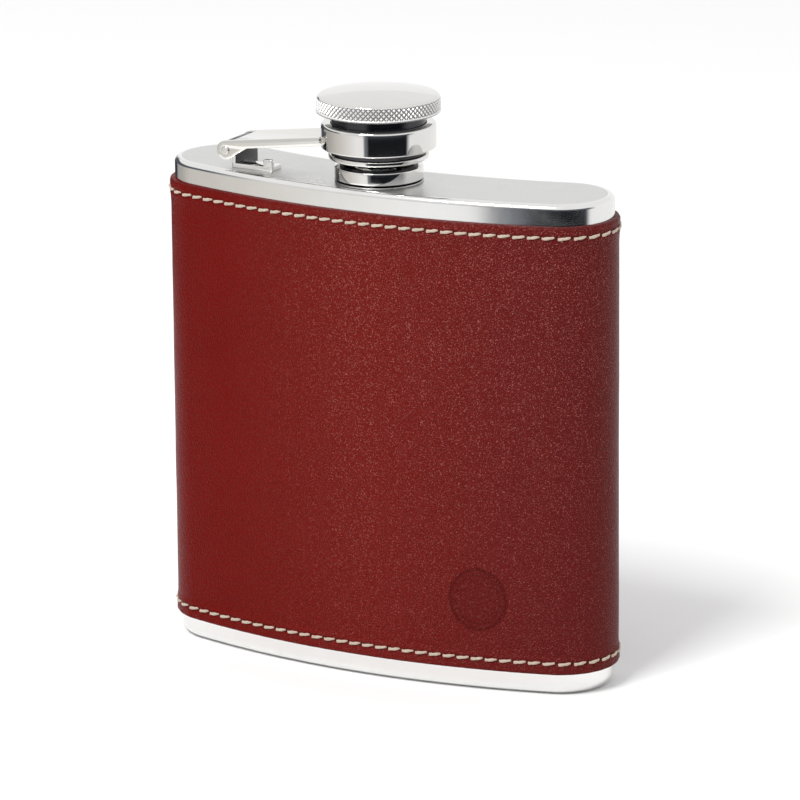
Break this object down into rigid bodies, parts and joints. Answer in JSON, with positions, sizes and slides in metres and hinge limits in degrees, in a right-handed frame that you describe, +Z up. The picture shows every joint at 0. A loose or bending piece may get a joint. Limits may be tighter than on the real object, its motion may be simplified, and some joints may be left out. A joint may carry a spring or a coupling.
{
  "type": "hip flask",
  "caption": "Slim curved hip flask in stitched leather over steel, with a hinged captive screw cap.",
  "frame": {"origin": "centre of the overall box at the base that the flask stands on", "axes": "+Z up through the neck, +X along the width away from the hinge, -Y towards the convex front"},
  "size_m": [0.0947, 0.0282, 0.1122],
  "materials": {
    "polished_steel": "mirror polished stainless steel",
    "satin_steel": "satin stainless steel, polished at the rim",
    "raw_steel": "drawn stainless steel, unpolished",
    "red_leather": "deep red fine-grained leather with a soft sheen",
    "cream_thread": "waxed cream thread",
    "seal": "soft off-white silicone"
  },
  "bodies": {
    "flask": {"body_shell": "raw_steel", "bottom_plate": "polished_steel", "top_plate": "satin_steel", "filler_neck": "polished_steel", "hinge_bracket": "polished_steel", "leather_wrap": "red_leather", "upper_stitching": "cream_thread", "lower_stitching": "cream_thread", "back_seam_stitching": "cream_thread"},
    "arm": {"cap_arm": "polished_steel", "hinge_pin": "polished_steel", "captive_collar": "polished_steel"},
    "lift": {"retaining_ring": "polished_steel"},
    "cap": {"cap_sleeve": "polished_steel", "sealing_washer": "seal", "cap_knob": "polished_steel"}
  },
  "joints": [
    {"name": "arm_swing", "type": "hinge", "parent": "flask", "child": "arm", "pos_m": [-0.0304, -0.00228, 0.09835], "axis": [0, -1, 0], "range_deg": [0, 165]},
    {"name": "cap_rise", "type": "slide", "parent": "arm", "child": "lift", "axis": [0, 0, 1], "range_m": [0, 0.001]},
    {"name": "cap_turn", "type": "hinge", "parent": "lift", "child": "cap", "pos_m": [0, -0.00228, 0.1], "axis": [0, 0, 1], "range_deg": [0, 360]}
  ],
  "couplings": [
    {"joint": "cap_rise", "follows": "cap_turn", "m_per_rad": 0.00015915}
  ]
}
